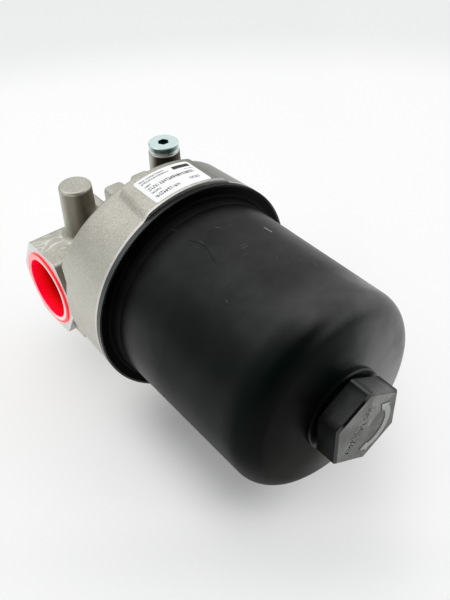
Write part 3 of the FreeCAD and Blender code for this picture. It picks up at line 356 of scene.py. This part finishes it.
class CastAluminium(Finish):
    """Fine-grained casting with machined port faces, seat, gauge seat and foot, and painted light and shade
    on the bell, the arm's top and the bosses.
    """

    def __init__(self, colours, sizes):
        super().__init__("cast_aluminium")
        self.spot = self.place()
        self.x, self.y, self.z = self.apart(self.spot)
        self.casting = tuple(colours.casting)
        self.grain = self.noise(self.spot, sizes.cast_grain, detail=3.0, roughness=0.6)
        self.pores = self.cells(self.spot, sizes.cast_grain * 3.2)
        patches = self.noise(self.spot, 22 * MM, detail=4.0, roughness=0.6)
        port = abs(self.x).within(PORT_FACE - SKIN, PORT_FACE + SKIN) * (self.y > PORT_EDGE)
        machined = self.machined_faces(port)
        tone = self.sand_tone(patches, sizes.cast_grain)
        tone = self.bell_painted_light(tone)
        tone = self.arm_fold_highlights(tone)
        tone = self.boss_painted_shade(tone)
        self.feed("Base Color", self.mix(tone, self.cut_tone(tuple(colours.machined), port), machined))
        self.feed("Metallic", 0.9 - port * 0.75)
        self.feed("Roughness", blend(self.grain * 0.12 + 0.30 + patches * 0.06, 0.30, machined))
        flow = self.noise(self.vector("MULTIPLY", self.spot, (1.0, 3.0, 1.0)), 5 * MM, detail=3.0)
        height = (self.grain * 0.6 + self.pores * 0.4 + flow * 0.7) * (1.0 - machined)
        self.relief(height, 0.10 * MM, 0.55)

    def machined_faces(self, port):
        """Port faces, seat with its band, underside of the foot and the seat of the gauge plug."""
        seat = (self.y < SEAT + SKIN).either((self.y < SEAT_BAND) * 0.7)
        gauge = (self.z > GAUGE_TOP - SKIN) * (self.x > 0.0) * (self.y > BOSS_SIDE)
        return port.either(seat).either(self.z < SKIN).either(gauge)

    def sand_tone(self, patches, size):
        """Broad clouds, with light and dark specks of sand and small pores."""
        clouds = (patches * 0.45 + self.grain * 0.55).rises(0.32, 0.66)
        tone = self.mix(scaled(self.casting, 0.80), scaled(self.casting, 1.14), clouds)
        sand = self.noise(self.spot, size * 1.1, detail=1.0)
        tone = self.mix(tone, scaled(self.casting, 0.66), sand.rises(0.56, 0.70) * 0.55)
        tone = self.mix(tone, scaled(self.casting, 1.45), sand.rises(0.44, 0.30) * 0.45)
        return self.mix(tone, scaled(self.casting, 0.62), self.pores.rises(0.10, 0.02) * 0.5)

    def bell_painted_light(self, tone):
        """Painted light and shade: the bell is painted paler on its left flank and darker right of its
        crest.
        """
        reach = self.measure("LENGTH", self.joined(self.x, 0.0, self.z - AXIS_HEIGHT))
        side = self.x / reach
        bell = self.y < BELL_BACK
        flank = (-side).rises(0.70, 0.92) * bell
        crest = side.rises(-0.35, 0.35) * side.rises(0.55, 0.85, 1.0, 0.0)
        crest = crest * bell * (self.z > AXIS_HEIGHT)
        # Painted highlight on the left flank, painted shade right of the crest.
        tone = self.mix(tone, (0.80, 0.79, 0.72), flank * 0.22)
        return self.mix(tone, (0.20, 0.20, 0.187), crest * 0.75)

    def arm_fold_highlights(self, tone):
        """Bright lines painted along the folds that the metal's flow left on top of the arm, as their
        highlights.
        """
        stretched = self.vector("MULTIPLY", self.spot, (1.0, 1.8, 1.0))
        fold_highlights = self.noise(stretched, 16 * MM, detail=1.0, distortion=1.2)
        on_arm = (self.z > ARM_TOP[0]) * (self.z < ARM_TOP[1]) * (self.y > ARM_FRONT)
        # Painted highlight: pale lines along the folds on top of the arm.
        return self.mix(tone, (0.90, 0.89, 0.86), on_arm * abs(fold_highlights - 0.5).rises(0.05, 0.008) * 0.45)

    def boss_painted_shade(self, tone):
        """Painted shade: both bosses are painted dark on the side that faces front and right, the one under
        the screw more so.
        """
        out = self.x - self.x.calculate("SIGN", self.x) * GAUGE_PLACE.x
        behind = self.y - GAUGE_PLACE.y
        around = self.measure("LENGTH", self.joined(out, behind, 0.0))
        shaft = self.z.rises(*BOSS_FOOT) * (self.z < GAUGE_TOP - 0.9 * MM)
        facing = ((out * 0.25 - behind * 0.97) / around).rises(-0.40, 0.30)
        # Painted shade on the side of each boss that faces front and right, darkest under the screw.
        dark = (around < BOSS_RADIUS) * shaft * facing
        tone = self.mix(tone, (0.17, 0.150, 0.118), dark * (self.x < 0.0) * 0.85)
        return self.mix(tone, (0.018, 0.014, 0.009), dark * (self.x > 0.0) * 0.95)

    def cut_tone(self, machined, port):
        """Machined metal with fine turning rings, plain and paler on the port faces."""
        rings = self.noise(self.joined(self.x * 0.02, self.y, self.z), 0.7 * MM, detail=2.0)
        return self.mix(self.mix(machined, scaled(machined, 0.88), rings), (0.78, 0.785, 0.77), port)


class BlackNylon(Finish):
    """Matt black moulding with marks of handling, with a painted sheen in its coat and painted reflections
    and shade in its colour, changing round its wall and end.
    """

    def __init__(self, colours, sizes):
        super().__init__("black_nylon", Specular_IOR_Level=0.03, Coat_IOR=1.7, Coat_Roughness=0.27)
        self.spot = self.place()
        self.x, self.y, z = self.apart(self.spot)
        self.lift = z - AXIS_HEIGHT
        self.reach = self.measure("LENGTH", self.joined(self.x, 0.0, self.lift))
        self.side = self.x / self.reach
        self.top = self.lift / self.reach
        self.depth = SEAT - self.y
        self.smudges = self.noise(self.spot, 24 * MM, detail=5.0, roughness=0.66)
        self.stains = self.noise(self.spot, 7 * MM, detail=6.0, roughness=0.7)
        self.past_neck = self.depth.rises(*NECK_SHADE)
        self.end = (self.depth > DOME_DEPTH) * self.reach.rises(46.5 * MM, 54.5 * MM, 1.0, 0.0)
        self.edge = self.reach > FLANGE_EDGE
        self.outer = (-self.side).rises(0.2, 0.7)
        self.hexagon = self.depth > HEXAGON_DEPTH
        painted_sheen = self.moulding_painted_sheen()
        tone = self.moulding_tone(tuple(colours.bowl))
        for start, end, width, light in BOWL_MARKS:
            line = self.segment(self.spot, start, end, sizes.scratch_width * width) * abs(light)
            if light > 0:
                tone = self.mix(tone, (0.36, 0.42, 0.44), line)
            else:
                painted_sheen = painted_sheen * (1.0 - line * 0.85)
        grain = self.noise(self.spot, sizes.bowl_grain, detail=2.0)
        self.feed("Base Color", self.hexagon_tone(tone))
        # Painted sheen: the coat weight follows the way each part faces, standing in for reflections.
        self.feed("Coat Weight", self.hexagon_painted_sheen(painted_sheen))
        self.feed("Roughness", grain * 0.05 + 0.42)
        self.relief(grain, 0.02 * MM, 0.5)

    def towards(self, degrees, low, high):
        """Rises on the side of the bowl that faces an angle from the top, positive to the right."""
        turn = math.radians(degrees)
        return (self.side * math.sin(turn) + self.top * math.cos(turn)).rises(low, high)

    def wall_painted_sheen(self):
        """Painted sheen: most right of the top and on the left flank, little near the flange."""
        left = (-self.side).rises(0.80, 1.0)
        wall = self.towards(20, 0.36, 0.94) * 0.22 + self.side.rises(0.0, 0.5) * 0.09
        wall = wall + left * 0.05 + 0.10
        wall = blend(wall, left * 0.15 + 0.20, self.depth.rises(26 * MM, 50 * MM, 0.75, 0.0))
        far = self.depth.rises(78 * MM, 98 * MM) * self.towards(40, 0.45, 0.75)
        return wall * (far * 0.8 + 1.0) * self.past_neck

    def dome_painted_sheen(self):
        """Painted sheen: most on the right, with a painted dull patch at the upper left."""
        dome = self.towards(100, -0.6, 0.95) * 0.98 + (-self.side).rises(0.3, 0.9) * 0.03 + 0.04
        return dome * (1.0 - self.towards(-50, 0.3, 0.8) * self.reach.rises(30 * MM, 38 * MM) * 0.5)

    def moulding_painted_sheen(self):
        """Painted sheen of wall and dome together, with painted dullness along the knuckle between them,
        smudges, and a painted highlight on the flange's edge.
        """
        knuckle_shade = self.depth.rises(DOME_DEPTH, DOME_DEPTH + 10 * MM) * self.reach.rises(42 * MM, 48 * MM)
        knuckle_shade = knuckle_shade * self.towards(-60, 0.60, 0.92)
        painted_sheen = blend(self.wall_painted_sheen(), self.dome_painted_sheen(), self.end) * (1.0 - knuckle_shade * 0.8)
        painted_sheen = painted_sheen * self.smudges.rises(0.25, 0.75, 0.78, 1.22)
        painted_sheen = painted_sheen * self.stains.rises(0.3, 0.7, 0.94, 1.06)
        edge_highlight = self.outer * 0.35 + 0.55 - self.towards(25, 0.70, 0.95) * 0.40
        return blend(painted_sheen, edge_highlight, self.edge).both(1.0)

    def moulding_tone(self, black):
        """Black with a brown tint from smudges, painted shade in the neck and painted reflections: green on
        wall and end, warm low on the end, teal on the flange's edge.
        """
        rim = self.edge.either(self.y < BOWL_END + 17 * MM)
        # Painted shade: the neck under the head is painted darker, except at the flange's edge and near the
        # end.
        tone = self.mix(scaled(black, 0.3), black, self.past_neck.either(rim))
        # Painted reflection: a teal tint on the outer side of the flange's edge.
        tone = self.mix(tone, (0.010, 0.015, 0.015), self.edge * self.outer)
        # Painted reflection: a green tint on the parts of wall and end that face given directions.
        painted_green_reflection = blend(self.towards(-58, 0.55, 0.95), self.towards(15, 0.45, 0.95), self.end)
        painted_green_reflection = painted_green_reflection * self.depth.rises(10 * MM, 26 * MM)
        brown = self.smudges.rises(0.4, 0.7) * (1.0 - painted_green_reflection) * (1.0 - self.end)
        tone = self.mix(tone, (0.0012, 0.0042, 0.0034), painted_green_reflection * 0.8)
        # Painted reflection: a warm tint on the end where it faces down and to the left.
        tone = self.mix(tone, (0.0038, 0.0036, 0.0016), self.towards(-150, 0.4, 0.95) * self.end)
        return self.mix(tone, (0.0042, 0.0034, 0.0034), brown * 0.7)

    def hexagon_painted_sheen(self, painted_sheen):
        """Adds painted sheen on the collar and the hexagon's flats, by the way each faces, to that of the
        moulding.
        """
        collar = self.depth.within(COLLAR_DEPTH, HEXAGON_DEPTH)
        ring = self.towards(45, 0.5, 0.95) * 0.45 + self.towards(-120, 0.75, 0.98) * 0.35
        flats = self.towards(30, 0.88, 0.96) * 0.72 + self.towards(-30, 0.88, 0.96) * 0.20 + 0.06
        flats = flats * self.stains.rises(0.3, 0.7, 0.75, 1.25)
        return blend(blend(painted_sheen, ring, collar), flats, self.hexagon)

    def hexagon_tone(self, tone):
        """Adds the hexagon's smudged flats, painted lighter where they face up and to the right, a painted
        highlight along its top edge, its bevel with painted light and shade, its front and the raised
        arrow.
        """
        tone = self.mix(tone, (0.007, 0.008, 0.008), self.hexagon * self.smudges.rises(0.35, 0.6))
        # Painted light: flats that face up and to the right are painted lighter.
        tone = self.mix(tone, (0.030, 0.031, 0.030), self.hexagon * self.towards(30, 0.86, 0.90))
        # Painted highlight along the hexagon's top edge.
        tone = self.mix(tone, (0.090, 0.092, 0.088), self.hexagon * self.towards(0, 0.9990, 0.9998))
        # Painted light and shade on the bevel: lighter, but near black where it faces the upper left.
        bevel_light_and_shade = self.mix((0.07, 0.072, 0.068), (0.002, 0.002, 0.002), self.towards(-30, 0.90, 0.95))
        tone = self.mix(tone, bevel_light_and_shade, self.y < BOWL_END + 1.7 * MM)
        tone = self.mix(tone, self.front_tone(), self.y < BOWL_END + 0.55 * MM)
        return self.mix(tone, (0.42, 0.425, 0.415), self.y < BOWL_END + 0.15 * MM)

    def front_tone(self):
        """Grey face with a row of random curls in place of lettering."""
        front = self.mix((0.15, 0.152, 0.143), (0.20, 0.205, 0.195), self.stains.rises(0.35, 0.65))
        along = self.x * 0.585 + self.lift * 0.811
        beside = self.x * 0.811 - self.lift * 0.585 + 5.8 * MM
        curls = self.noise(self.joined(along, 0.0, beside * 0.8), 2.4 * MM, detail=0.0)
        row = (abs(beside) < 2.5 * MM) * (abs(along) < 14.8 * MM)
        front = self.mix(front, (0.34, 0.345, 0.335), row * abs(curls - 0.59).rises(0.06, 0.02) * 0.8)
        return self.mix(front, (0.008, 0.008, 0.007), row * abs(curls - 0.5).rises(0.08, 0.03))


def red_plastic(colours):
    """Soft red plastic with a painted glow for the light through its thin wall: painted shade makes it deep
    red inside, and a painted highlight makes the flange pale, palest on one side.
    """
    finish = Finish("red_plastic", Emission_Strength=0.45)
    place = finish.place()
    x, y, z = finish.apart(place)
    reach = finish.measure("LENGTH", finish.joined(0.0, y, z - PORT_HEIGHT))
    inwards = PLUG_FACE - abs(x)
    streaks = finish.noise(finish.vector("MULTIPLY", place, (2.2, 0.3, 0.3)), 1.2 * MM, detail=3.0)
    red = tuple(colours.plug)
    # Painted shade: the inside is painted darker the deeper it goes, bright red at the mouth.
    inside = finish.mix((1.0, 0.0, 0.035), red, inwards.rises(1 * MM, 6 * MM))
    inside = finish.mix(inside, (0.26, 0.0, 0.0), inwards.rises(4 * MM, 12 * MM))
    inside = finish.mix(inside, (0.30, 0.0, 0.0), streaks.rises(0.48, 0.70) * 0.35)
    # Painted highlight: the flange's face is painted pale pink, paler on one side, with a red outer ring on
    # that side.
    right = (y / reach).rises(0.45, -0.35)
    face = finish.mix((0.78, 0.21, 0.215), (0.85, 0.48, 0.48), right)
    face = finish.mix(face, red, (reach > PLUG_RING) * right)
    flange = (inwards < 0.1 * MM) * reach.within(*PLUG_FLANGE)
    tone = finish.mix(finish.mix(red, inside, reach < PLUG_INSIDE), face, flange)
    finish.feed("Base Color", tone)
    # Painted glow: the colour also feeds the emission, standing in for light through the thin wall.
    finish.feed("Emission Color", tone)
    finish.feed("Roughness", streaks * 0.12 + 0.28)
    finish.feed("Coat Weight", flange * 0.2 + 0.12)
    finish.relief(finish.noise(place, 0.6 * MM), 0.03 * MM, 0.4)
    return finish


def zinc_plate(colours):
    """Bluish zinc plating on turned and pressed steel, with painted shade on the front of the head's skirt
    and in its socket.
    """
    finish = Finish("zinc_plate", Metallic=1.0)
    place = finish.place()
    x, y, z = finish.apart(place)
    bloom = finish.noise(place, 4 * MM, detail=3.0)
    zinc = tuple(colours.zinc)
    tone = finish.mix(zinc, scaled(zinc, 1.2), bloom)
    middle = (SCREW_LOW + SCREW_HIGH) / 2
    reach = finish.measure("DISTANCE", finish.joined(x, y, 0.0), (middle.x, middle.y, 0.0))
    socket = (reach < 3.6 * MM) * z.within(GAUGE_TOP, SCREW_HIGH.z - 0.1 * MM)
    skirt = z.within(GAUGE_TOP + 1.4 * MM, SCREW_HIGH.z - 0.25 * MM) * (reach > 8.3 * MM)
    front = ((x - middle.x) * -0.5 - (y - middle.y) * 0.87) / reach
    # Painted shade: the skirt of the screw head is painted dark on the side that faces the front.
    tone = finish.mix(tone, (0.10, 0.15, 0.15), skirt * front.rises(0.25, 0.8) * 0.85)
    # Painted shade: the hex socket is painted dark teal.
    finish.feed("Base Color", finish.mix(tone, (0.008, 0.11, 0.105), socket))
    finish.feed("Roughness", bloom * 0.14 + 0.22)
    lathe = finish.noise(finish.joined(x * 0.05, y * 0.05, z), 0.35 * MM, detail=1.0)
    finish.relief(lathe, 0.02 * MM, 0.3)
    return finish


def label_film(colours):
    """White film with a plain block and rows of small random marks in place of lettering."""
    finish = Finish("label_film", Specular_IOR_Level=0.15)
    place = finish.place()
    x, y, z = finish.apart(place)
    size = LABEL_HIGH - LABEL_LOW
    across = (x - LABEL_LOW.x) / size.x
    down = (LABEL_HIGH.y - y) / size.y

    def row(left, right, top, bottom, pitch, blackness):
        """Small marks of one pitch, each of three by four blocks that are filled at random."""
        count = (x - LABEL_LOW.x) / pitch
        cell = count.floor()
        column = (count - cell) * 3.9
        line = (down - top) * (4.0 / (bottom - top))
        block = finish.joined(cell + top * 9.0, column.floor(), line.floor())
        chance = finish.node("ShaderNodeTexWhiteNoise", {"noise_dimensions": "3D"}, {"Vector": block})
        field = across.within(left, right) * down.within(top, bottom)
        return field * (column > 0.9) * (chance > 0.36) * blackness

    ink = across.within(0.655, 0.955) * down.within(0.10, 0.235)
    for bars in LABEL_ROWS:
        ink = ink.either(row(*bars))
    faded = finish.noise(place, 0.5 * MM, detail=2.0)
    paper = finish.mix(tuple(colours.label), scaled(colours.label, 0.97), faded)
    finish.feed("Base Color", finish.mix(paper, tuple(colours.print_ink), ink * (faded * 0.1 + 0.93)))
    finish.feed("Roughness", faded * 0.1 + 0.28)
    return finish


def rubber():
    """Matt black sealing rubber."""
    finish = Finish("seal_rubber")
    place = finish.place()
    dust = finish.noise(place, 3 * MM, detail=4.0)
    tone = finish.mix((0.012, 0.012, 0.013), (0.035, 0.035, 0.036), dust.rises(0.4, 0.75))
    finish.feed("Base Color", tone)
    finish.feed("Roughness", dust * 0.2 + 0.5)
    finish.relief(finish.noise(place, 0.3 * MM), 0.02 * MM, 0.4)
    return finish


def wire_cloth(sizes):
    """Pleated stainless wire cloth."""
    finish = Finish("wire_cloth", Metallic=0.8, Roughness=0.45)
    x, y, z = finish.apart(finish.place())
    turn = math.tau / sizes.weave
    radius = finish.measure("LENGTH", finish.joined(x, 0.0, z - AXIS_HEIGHT))
    weave = abs((y * turn).sine() * (radius * turn).sine())
    tone = finish.mix((0.16, 0.16, 0.15), (0.56, 0.56, 0.53), weave.rises(0.05, 0.5))
    finish.feed("Base Color", tone)
    finish.relief(weave, 0.12 * MM, 0.7)
    return finish


def bright_steel(name, colour, roughness):
    """Steel sheet or wire with a drawn surface."""
    finish = Finish(name, Metallic=1.0)
    place = finish.place()
    drawn = finish.noise(finish.vector("MULTIPLY", place, (1.0, 0.1, 1.0)), 0.4 * MM, detail=2.0)
    cloud = finish.noise(place, 8 * MM, detail=3.0)
    finish.feed("Base Color", finish.mix(scaled(colour, 0.8), colour, cloud))
    finish.feed("Roughness", drawn * 0.16 + (roughness - 0.08))
    finish.relief(drawn, 0.02 * MM, 0.4)
    return finish


def cap_nylon():
    """Dark moulded caps of the element."""
    finish = Finish("cap_nylon")
    place = finish.place()
    cloud = finish.noise(place, 10 * MM, detail=4.0)
    finish.feed("Base Color", finish.mix((0.030, 0.031, 0.034), (0.060, 0.062, 0.066), cloud))
    finish.feed("Roughness", cloud * 0.15 + 0.38)
    finish.relief(finish.noise(place, 0.4 * MM), 0.02 * MM, 0.5)
    return finish


def pale_paper():
    """White paper of the floor, with painted shade far off and close to the camera, a painted shadow
    deepest left of the bowl, and painted light that lifts the shadow to the camera's right.
    """
    finish = Finish("studio_floor", Roughness=0.9, Specular_IOR_Level=0.0)
    place = finish.place()
    dapple = finish.noise(place, 0.6, detail=1.0)
    away = finish.measure("DISTANCE", place, (CAMERA_PLACE[0], CAMERA_PLACE[1], 0.0))
    paper = finish.mix((0.965, 0.97, 0.965), (0.98, 0.985, 0.98), dapple)
    # Painted shade: the paper is painted greyer far from the camera.
    tone = finish.mix(paper, (0.865, 0.87, 0.87), away.rises(0.72, 0.86))
    x, y, z = finish.apart(place)
    right = x * PICTURE_RIGHT[0] + y * PICTURE_RIGHT[1]
    near = x * PICTURE_RIGHT[1] - y * PICTURE_RIGHT[0]
    # Painted shadow: a strip left of the bowl gets less plain colour, so its shadow stays deep.
    under = abs(x + 0.040).rises(0.0, 0.036, 1.0, 0.0)
    under = under * y.rises(-0.04, -0.10) * y.rises(-0.192, -0.145)
    # Painted light and shade: more plain colour to the camera's right lifts the shadow there, less close to
    # the camera darkens the floor there.
    share = right.rises(0.13, 0.18, 0.45, 0.72) - near.rises(0.155, 0.19) * 0.33 - under * 0.42
    finish.feed("Base Color", tone)
    finish.show(tone, share.either(0.03))
    return finish


class FILTER_OT_dress_head(bpy.types.Operator):
    """Gives the casting its grain and machined faces."""
    bl_idname = "suction_filter.dress_head"
    bl_label = "Dress the head"

    def execute(self, context):
        scene = context.scene
        wear(CastAluminium(scene.filter_colours, scene.filter_sizes), ["filter_head"], 32)
        return {"FINISHED"}


class FILTER_OT_dress_bowl(bpy.types.Operator):
    """Gives the bowl its satin black moulding, pale arrow and handling marks."""
    bl_idname = "suction_filter.dress_bowl"
    bl_label = "Dress the bowl"

    def execute(self, context):
        scene = context.scene
        wear(BlackNylon(scene.filter_colours, scene.filter_sizes), ["filter_bowl"], 32)
        return {"FINISHED"}


class FILTER_OT_dress_plugs(bpy.types.Operator):
    """Gives the two port plugs their red plastic."""
    bl_idname = "suction_filter.dress_plugs"
    bl_label = "Dress the port plugs"

    def execute(self, context):
        finish = red_plastic(context.scene.filter_colours)
        wear(finish, ["inlet_port_plug", "outlet_port_plug"], 40)
        return {"FINISHED"}


class FILTER_OT_dress_plated_parts(bpy.types.Operator):
    """Gives screw plug, washer and plated valve parts their zinc."""
    bl_idname = "suction_filter.dress_plated_parts"
    bl_label = "Dress the plated parts"

    def execute(self, context):
        plated = ["gauge_port_screw", "gauge_port_washer", "bypass_valve", "bypass_cage", "bypass_nut",
                  "spring_cup"]
        wear(zinc_plate(context.scene.filter_colours), plated, 35)
        return {"FINISHED"}


class FILTER_OT_dress_label(bpy.types.Operator):
    """Prints a plain block and small marks on the label's film."""
    bl_idname = "suction_filter.dress_label"
    bl_label = "Dress the label"

    def execute(self, context):
        wear(label_film(context.scene.filter_colours), ["type_label"], 40)
        return {"FINISHED"}


class FILTER_OT_dress_inside(bpy.types.Operator):
    """Gives element, seals and springs inside the bowl their finishes."""
    bl_idname = "suction_filter.dress_inside"
    bl_label = "Dress the inner parts"

    def execute(self, context):
        wear(rubber(), ["bowl_seal", "element_seal", "bypass_seal"], 40)
        wear(wire_cloth(context.scene.filter_sizes), ["element_pleats"])
        wear(bright_steel("core_steel", (0.60, 0.62, 0.62), 0.34), ["element_core"], 35)
        springs = bright_steel("spring_steel", (0.42, 0.44, 0.46), 0.30)
        wear(springs, ["bypass_spring", "support_spring"], 60)
        wear(cap_nylon(), ["element_upper_cap", "element_lower_cap"], 35)
        return {"FINISHED"}


class FILTER_OT_set_stage(bpy.types.Operator):
    """Sets the filter on a pale floor under soft light, with the camera at the photograph's angle."""
    bl_idname = "suction_filter.set_stage"
    bl_label = "Set the stage"

    def execute(self, context):
        scene = context.scene
        self.add_floor(scene)
        self.add_world(scene)
        self.add_lamp(scene)
        self.add_camera(scene)
        scene.view_settings.view_transform = "Standard"
        return {"FINISHED"}

    @staticmethod
    def add_floor(scene):
        mesh = bpy.data.meshes.new("studio_floor")
        shape = bmesh.new()
        bmesh.ops.create_grid(shape, x_segments=1, y_segments=1, size=4.0)
        shape.to_mesh(mesh)
        shape.free()
        floor = bpy.data.objects.new("studio_floor", mesh)
        scene.collection.objects.link(floor)
        mesh.materials.append(pale_paper().material)

    @staticmethod
    def add_world(scene):
        """Soft light all round, weaker where the photographer stands, behind a plain pale backdrop."""
        world = bpy.data.worlds.new("studio_air")
        world.use_nodes = True
        air = Graph(world.node_tree)
        air.tree.nodes.remove(air.tree.nodes["Background"])
        towards = air.node("ShaderNodeTexCoord", output="Generated")
        x, y, z = air.apart(towards)
        viewer = air.measure("DOT_PRODUCT", towards, tuple(Vector(CAMERA_PLACE).normalized()))
        strength = z.rises(0.05, 0.6, 0.5, 1.2) + (-x).rises(0.2, 1.0, 0.0, 0.25)
        right = (x * 0.87 - y * 0.49).rises(0.3, 1.0, 0.0, 0.8)
        strength = strength + right * z.rises(0.3, 0.7, 1.0, 0.0)
        strength = strength * viewer.rises(0.55, 0.92, 1.0, 0.05)
        light = air.node("ShaderNodeBackground", inputs={"Color": (0.96, 0.97, 0.97), "Strength": strength})
        plain = air.node("ShaderNodeBackground", inputs={"Color": (0.93, 0.94, 0.935)})
        camera = air.node("ShaderNodeLightPath", output="Is Camera Ray")
        seen = air.node("ShaderNodeMixShader", inputs=(camera, light, plain))
        air.join(air.tree.nodes["World Output"].inputs["Surface"], seen)
        scene.world = world

    @staticmethod
    def add_lamp(scene):
        lamp = bpy.data.lights.new("overhead_softbox", "AREA")
        lamp.size = 1.2
        lamp.energy = 3.0
        place, target = Vector((-0.25, 0.0, 1.0)), Vector((0.0, -0.06, 0.05))
        stand = bpy.data.objects.new("overhead_softbox", lamp)
        stand.location = place
        stand.rotation_euler = (target - place).to_track_quat("-Z", "Y").to_euler()
        scene.collection.objects.link(stand)

    @staticmethod
    def add_camera(scene):
        lens = bpy.data.cameras.new("photo_camera")
        lens.lens = CAMERA_LENS
        lens.sensor_width = 36.0
        camera = bpy.data.objects.new("photo_camera", lens)
        camera.location = CAMERA_PLACE
        camera.rotation_euler = Euler([math.radians(angle) for angle in CAMERA_TURN])
        scene.collection.objects.link(camera)
        scene.camera = camera


class FILTER_PT_sidebar(bpy.types.Panel):
    """Lists the filter's settings and steps."""
    bl_label = "Suction Filter"
    bl_space_type = "VIEW_3D"
    bl_region_type = "UI"
    bl_category = "Suction Filter"

    def draw(self, context):
        for group in (context.scene.filter_colours, context.scene.filter_sizes):
            box = self.layout.box()
            for name in group.bl_rna.properties.keys():
                if name not in ("rna_type", "name"):
                    box.prop(group, name)
        for step in STEPS:
            self.layout.operator(step.bl_idname)


STEPS = (
    FILTER_OT_dress_head, FILTER_OT_dress_bowl, FILTER_OT_dress_plugs, FILTER_OT_dress_plated_parts,
    FILTER_OT_dress_label, FILTER_OT_dress_inside, FILTER_OT_set_stage,
)
CLASSES = (FilterColours, FilterSizes, *STEPS, FILTER_PT_sidebar)


def register():
    for item in CLASSES:
        bpy.utils.register_class(item)
    bpy.types.Scene.filter_colours = bpy.props.PointerProperty(type=FilterColours)
    bpy.types.Scene.filter_sizes = bpy.props.PointerProperty(type=FilterSizes)


def unregister():
    del bpy.types.Scene.filter_sizes
    del bpy.types.Scene.filter_colours
    for item in reversed(CLASSES):
        bpy.utils.unregister_class(item)


def main():
    """Registers the add-on and runs every step in order."""
    register()
    for step in STEPS:
        family, name = step.bl_idname.split(".")
        getattr(getattr(bpy.ops, family), name)()


if __name__ == "__main__":
    main()
